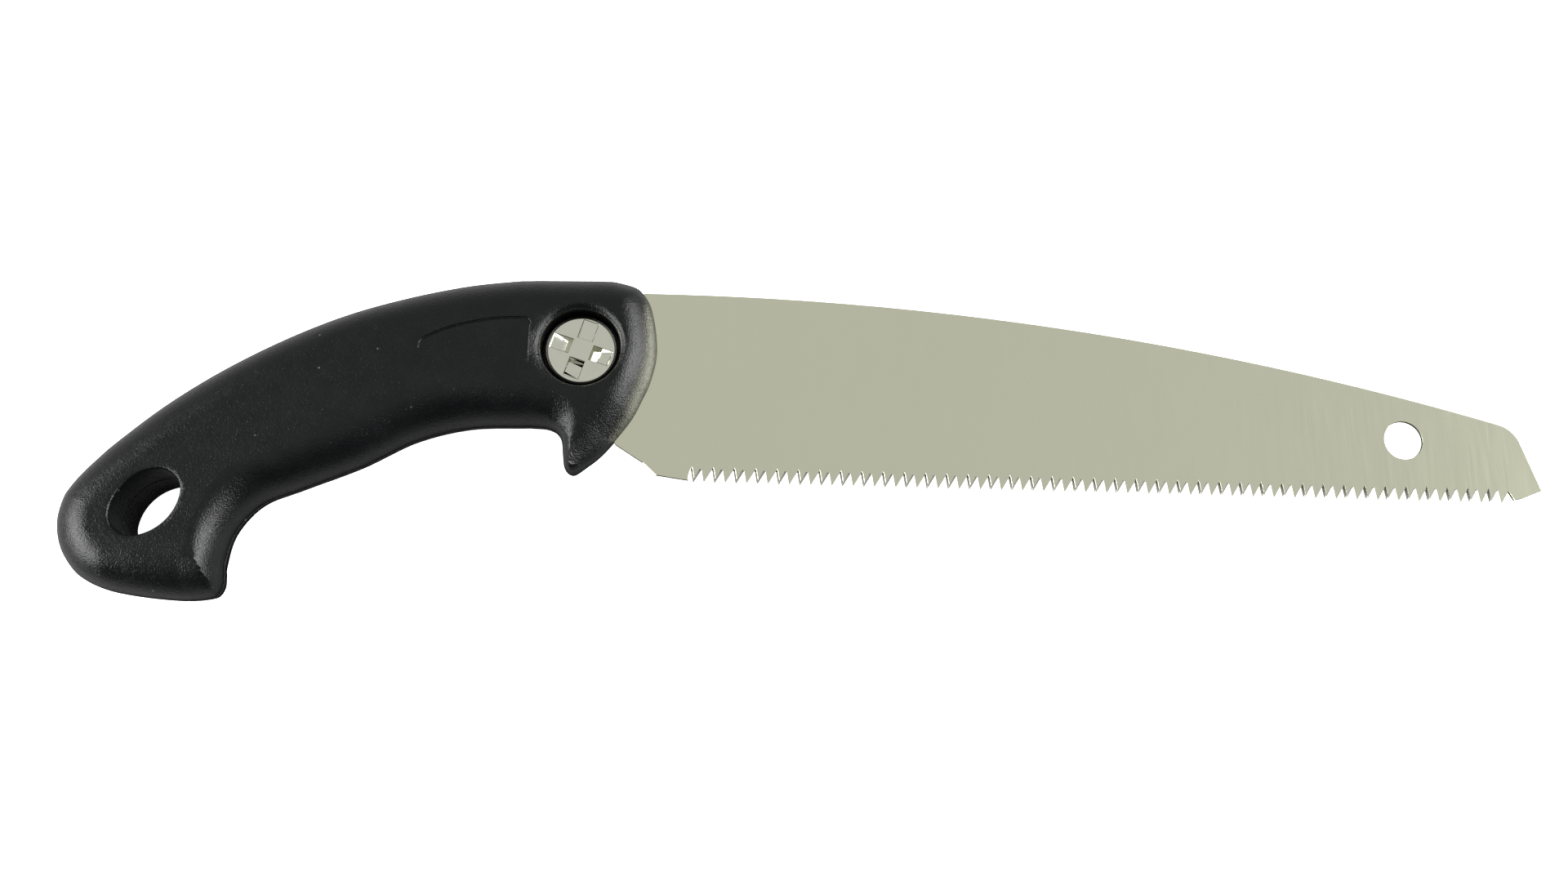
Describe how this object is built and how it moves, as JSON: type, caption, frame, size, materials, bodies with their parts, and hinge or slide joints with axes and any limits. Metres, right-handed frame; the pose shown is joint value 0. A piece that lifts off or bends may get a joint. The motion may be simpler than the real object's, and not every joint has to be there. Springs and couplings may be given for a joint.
{
  "type": "pruning saw",
  "caption": "Fixed pistol-grip pruning saw: curved-back toothed blade clamped by one large cross-slot bolt in a black two-shell handle with a hang hole.",
  "frame": {"origin": "centre of the bounding box in X and Y, on the table under the far side of the handle in Z; the saw lies on its side", "axes": "+X along the blade towards its tip, +Y in the plane of the blade towards its spine, +Z out of the side of the handle that carries the bolt head"},
  "size_m": [0.4162, 0.0919, 0.024],
  "materials": {
    "handle_plastic": "fine spark grain",
    "blade_steel": "satin plate",
    "bolt_chrome": "mirror plate",
    "zinc_steel": "zinc plate"
  },
  "bodies": {
    "handle": {"handle_shell_near": "handle_plastic", "handle_shell_far": "handle_plastic", "clamp_nut": "zinc_steel", "tang_pin": "zinc_steel", "shell_screw_1": "zinc_steel", "shell_screw_2": "zinc_steel", "shell_screw_3": "zinc_steel", "shell_screw_4": "zinc_steel", "shell_screw_5": "zinc_steel"},
    "blade": {"saw_blade": "blade_steel"},
    "washers": {"bolt_washer": "zinc_steel", "bolt_spring_washer": "zinc_steel"},
    "bolt": {"clamp_bolt": "bolt_chrome"}
  },
  "joints": [
    {"name": "blade_draw", "type": "slide", "parent": "handle", "child": "blade", "axis": [1, 0, 0], "range_m": [0, 0.07]},
    {"name": "bolt_travel", "type": "slide", "parent": "handle", "child": "washers", "axis": [0, 0, 1], "range_m": [0, 0.00625]},
    {"name": "bolt_turn", "type": "hinge", "parent": "washers", "child": "bolt", "pos_m": [-0.0664, 0.02365, 0.017], "axis": [0, 0, 1], "range_deg": [0, 1800]}
  ],
  "couplings": [
    {"joint": "bolt_travel", "follows": "bolt_turn", "m_per_rad": 0.00019894}
  ]
}
